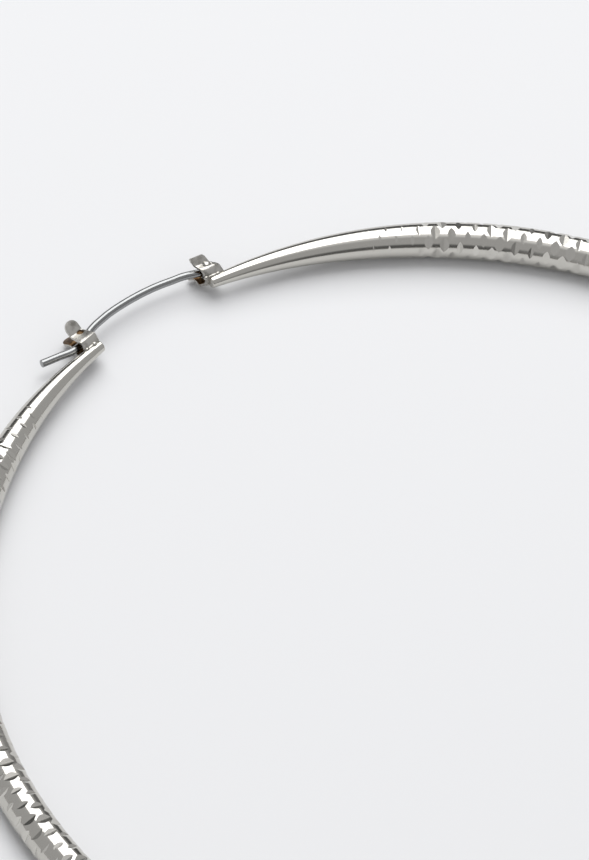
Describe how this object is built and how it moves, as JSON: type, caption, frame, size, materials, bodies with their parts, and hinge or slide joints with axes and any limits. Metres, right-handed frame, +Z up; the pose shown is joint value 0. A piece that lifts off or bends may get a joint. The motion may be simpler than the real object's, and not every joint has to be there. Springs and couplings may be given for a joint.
{
  "type": "hoop earring",
  "caption": "Round metal hoop earring with diamond-cut tube, thin plain ends and a hinged ear wire that snaps into a folded catch.",
  "frame": {"origin": "middle of the area that the lying earring covers, on the surface it lies on", "axes": "+Z up, square to the plane of the hoop; +Y from the middle of the hoop to the gap with the ear wire; the hinge is on the +X side of the gap"},
  "size_m": [0.1038, 0.1048, 0.0038],
  "materials": {
    "cut_metal": "polished, with bright diamond cuts",
    "wire_metal": "drawn wire, smooth",
    "rivet_metal": "polished"
  },
  "bodies": {
    "hoop": {"hoop": "cut_metal", "hinge_rivet": "rivet_metal"},
    "ear_wire": {"ear_wire": "wire_metal"}
  },
  "joints": [
    {"name": "ear_wire_hinge", "type": "hinge", "parent": "hoop", "child": "ear_wire", "pos_m": [0.00761, 0.05045, 0.0019], "axis": [0, 0, -1], "range_deg": [0, 60]}
  ]
}
